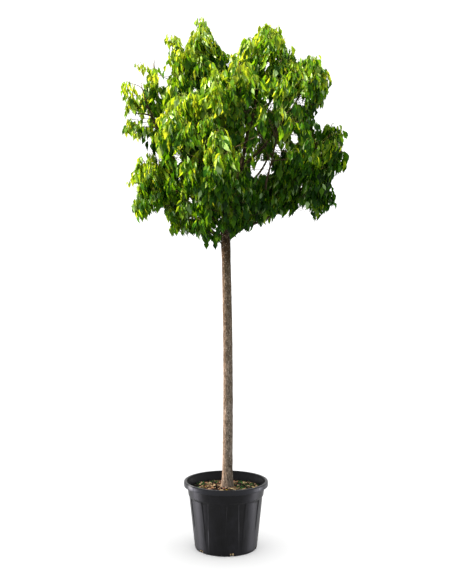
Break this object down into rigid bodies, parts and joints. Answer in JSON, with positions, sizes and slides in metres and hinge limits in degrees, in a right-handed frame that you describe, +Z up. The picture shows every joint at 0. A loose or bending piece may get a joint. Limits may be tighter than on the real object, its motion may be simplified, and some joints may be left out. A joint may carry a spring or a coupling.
{
  "type": "potted box elder standard tree",
  "caption": "Young broadleaf tree grown as a standard: a clear stem under a rounded, open crown of hanging compound leaves, standing in a round black plastic nursery pot.",
  "frame": {"origin": "centre of the flat underside of the pot, on the surface that it stands on", "axes": "+Z up along the stem; -Y is the side that faces the viewer in the picture, +X is to the right in the picture"},
  "size_m": [1.2023, 1.0273, 2.8124],
  "materials": {
    "pot_plastic": "injection-moulded black nursery plastic with a faint satin sheen",
    "compost": "dark potting compost topped with bark chips and moss",
    "trunk_bark": "grey-brown young bark with fine upright fissures",
    "bough_bark": "brown bark on the boughs, greener towards the shoots",
    "foliage": "thin green compound leaves on green shoots"
  },
  "bodies": {
    "root": {"pot": "pot_plastic", "compost": "compost", "trunk": "trunk_bark", "bough_spire": "bough_bark", "bough_crest": "bough_bark", "bough_right_upper": "bough_bark", "bough_right_high": "bough_bark", "bough_right_mid": "bough_bark", "bough_right_low": "bough_bark", "bough_low_right": "bough_bark", "bough_low_front": "bough_bark", "bough_low_left": "bough_bark", "bough_left_low": "bough_bark", "bough_left_mid": "bough_bark", "bough_left_sprig": "bough_bark", "bough_left_up": "bough_bark", "bough_front_high": "bough_bark", "bough_front_low": "bough_bark", "bough_front_right": "bough_bark", "bough_front_left": "bough_bark", "bough_back_high": "bough_bark", "bough_back_low": "bough_bark", "bough_back_right": "bough_bark", "bough_back_left": "bough_bark", "foliage_spire": "foliage", "foliage_crest": "foliage", "foliage_right_upper": "foliage", "foliage_right_high": "foliage", "foliage_right_mid": "foliage", "foliage_right_low": "foliage", "foliage_low_right": "foliage", "foliage_low_front": "foliage", "foliage_low_left": "foliage", "foliage_left_low": "foliage", "foliage_left_mid": "foliage", "foliage_left_sprig": "foliage", "foliage_left_up": "foliage", "foliage_front_high": "foliage", "foliage_front_low": "foliage", "foliage_front_right": "foliage", "foliage_front_left": "foliage", "foliage_back_high": "foliage", "foliage_back_low": "foliage", "foliage_back_right": "foliage", "foliage_back_left": "foliage"}
  },
  "joints": []
}
